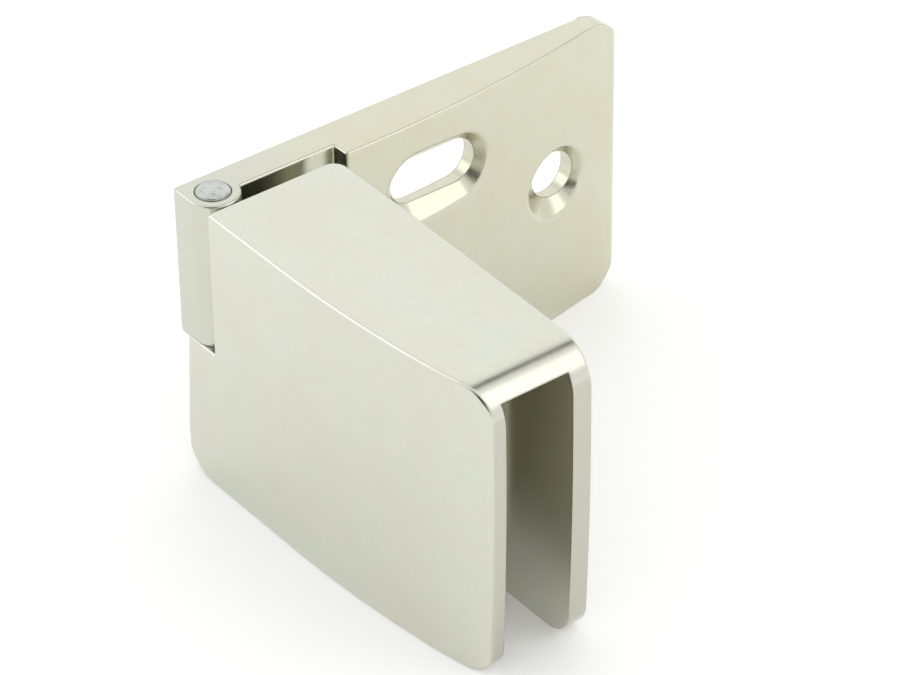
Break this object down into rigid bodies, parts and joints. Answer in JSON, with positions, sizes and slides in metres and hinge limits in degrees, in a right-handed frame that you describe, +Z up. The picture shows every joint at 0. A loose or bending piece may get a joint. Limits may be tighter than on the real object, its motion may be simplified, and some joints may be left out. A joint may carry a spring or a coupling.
{
  "type": "glass door hinge",
  "caption": "Clamp-on hinge for an inset glass door: a cast leaf with slotted screw holes, a U-shaped clamp that grips the pane, and an upright pin.",
  "frame": {"origin": "where the axis of the leaf's round screw hole meets the mounting face", "axes": "+X away from the cabinet's side, +Y along the leaf and away from the pin, +Z up along the pin; the door is shut"},
  "size_m": [0.0501, 0.0592, 0.0365],
  "materials": {
    "leaf_nickel": "satin nickel plate on a zinc casting",
    "clamp_nickel": "satin nickel plate on a zinc casting",
    "pin_steel": "dull steel",
    "pad_rubber": "matt black",
    "plate_steel": "zinc-plated sheet",
    "screw_steel": "dark oxide"
  },
  "bodies": {
    "leaf": {"wall_leaf": "leaf_nickel", "hinge_pin": "pin_steel"},
    "clamp": {"glass_clamp": "clamp_nickel", "front_pad": "pad_rubber"},
    "plate": {"pressure_plate": "plate_steel", "plate_pad": "pad_rubber"},
    "near_screw": {"set_screw_near": "screw_steel"},
    "far_screw": {"set_screw_far": "screw_steel"}
  },
  "joints": [
    {"name": "door_swing", "type": "hinge", "parent": "leaf", "child": "clamp", "pos_m": [0.0032, -0.04625, 0], "axis": [0, 0, -1], "range_deg": [-8, 92]},
    {"name": "plate_slide", "type": "slide", "parent": "clamp", "child": "plate", "axis": [0, -1, 0], "range_m": [0, 0.0023]},
    {"name": "near_screw_turn", "type": "hinge", "parent": "plate", "child": "near_screw", "pos_m": [0.0222, -0.03525, -0.0005], "axis": [0, -1, 0], "range_deg": [0, 1036]},
    {"name": "far_screw_turn", "type": "hinge", "parent": "plate", "child": "far_screw", "pos_m": [0.0332, -0.03525, -0.0005], "axis": [0, -1, 0], "range_deg": [0, 1036]}
  ],
  "couplings": [
    {"joint": "near_screw_turn", "follows": "plate_slide", "rad_per_m": 7854},
    {"joint": "far_screw_turn", "follows": "plate_slide", "rad_per_m": 7854}
  ]
}
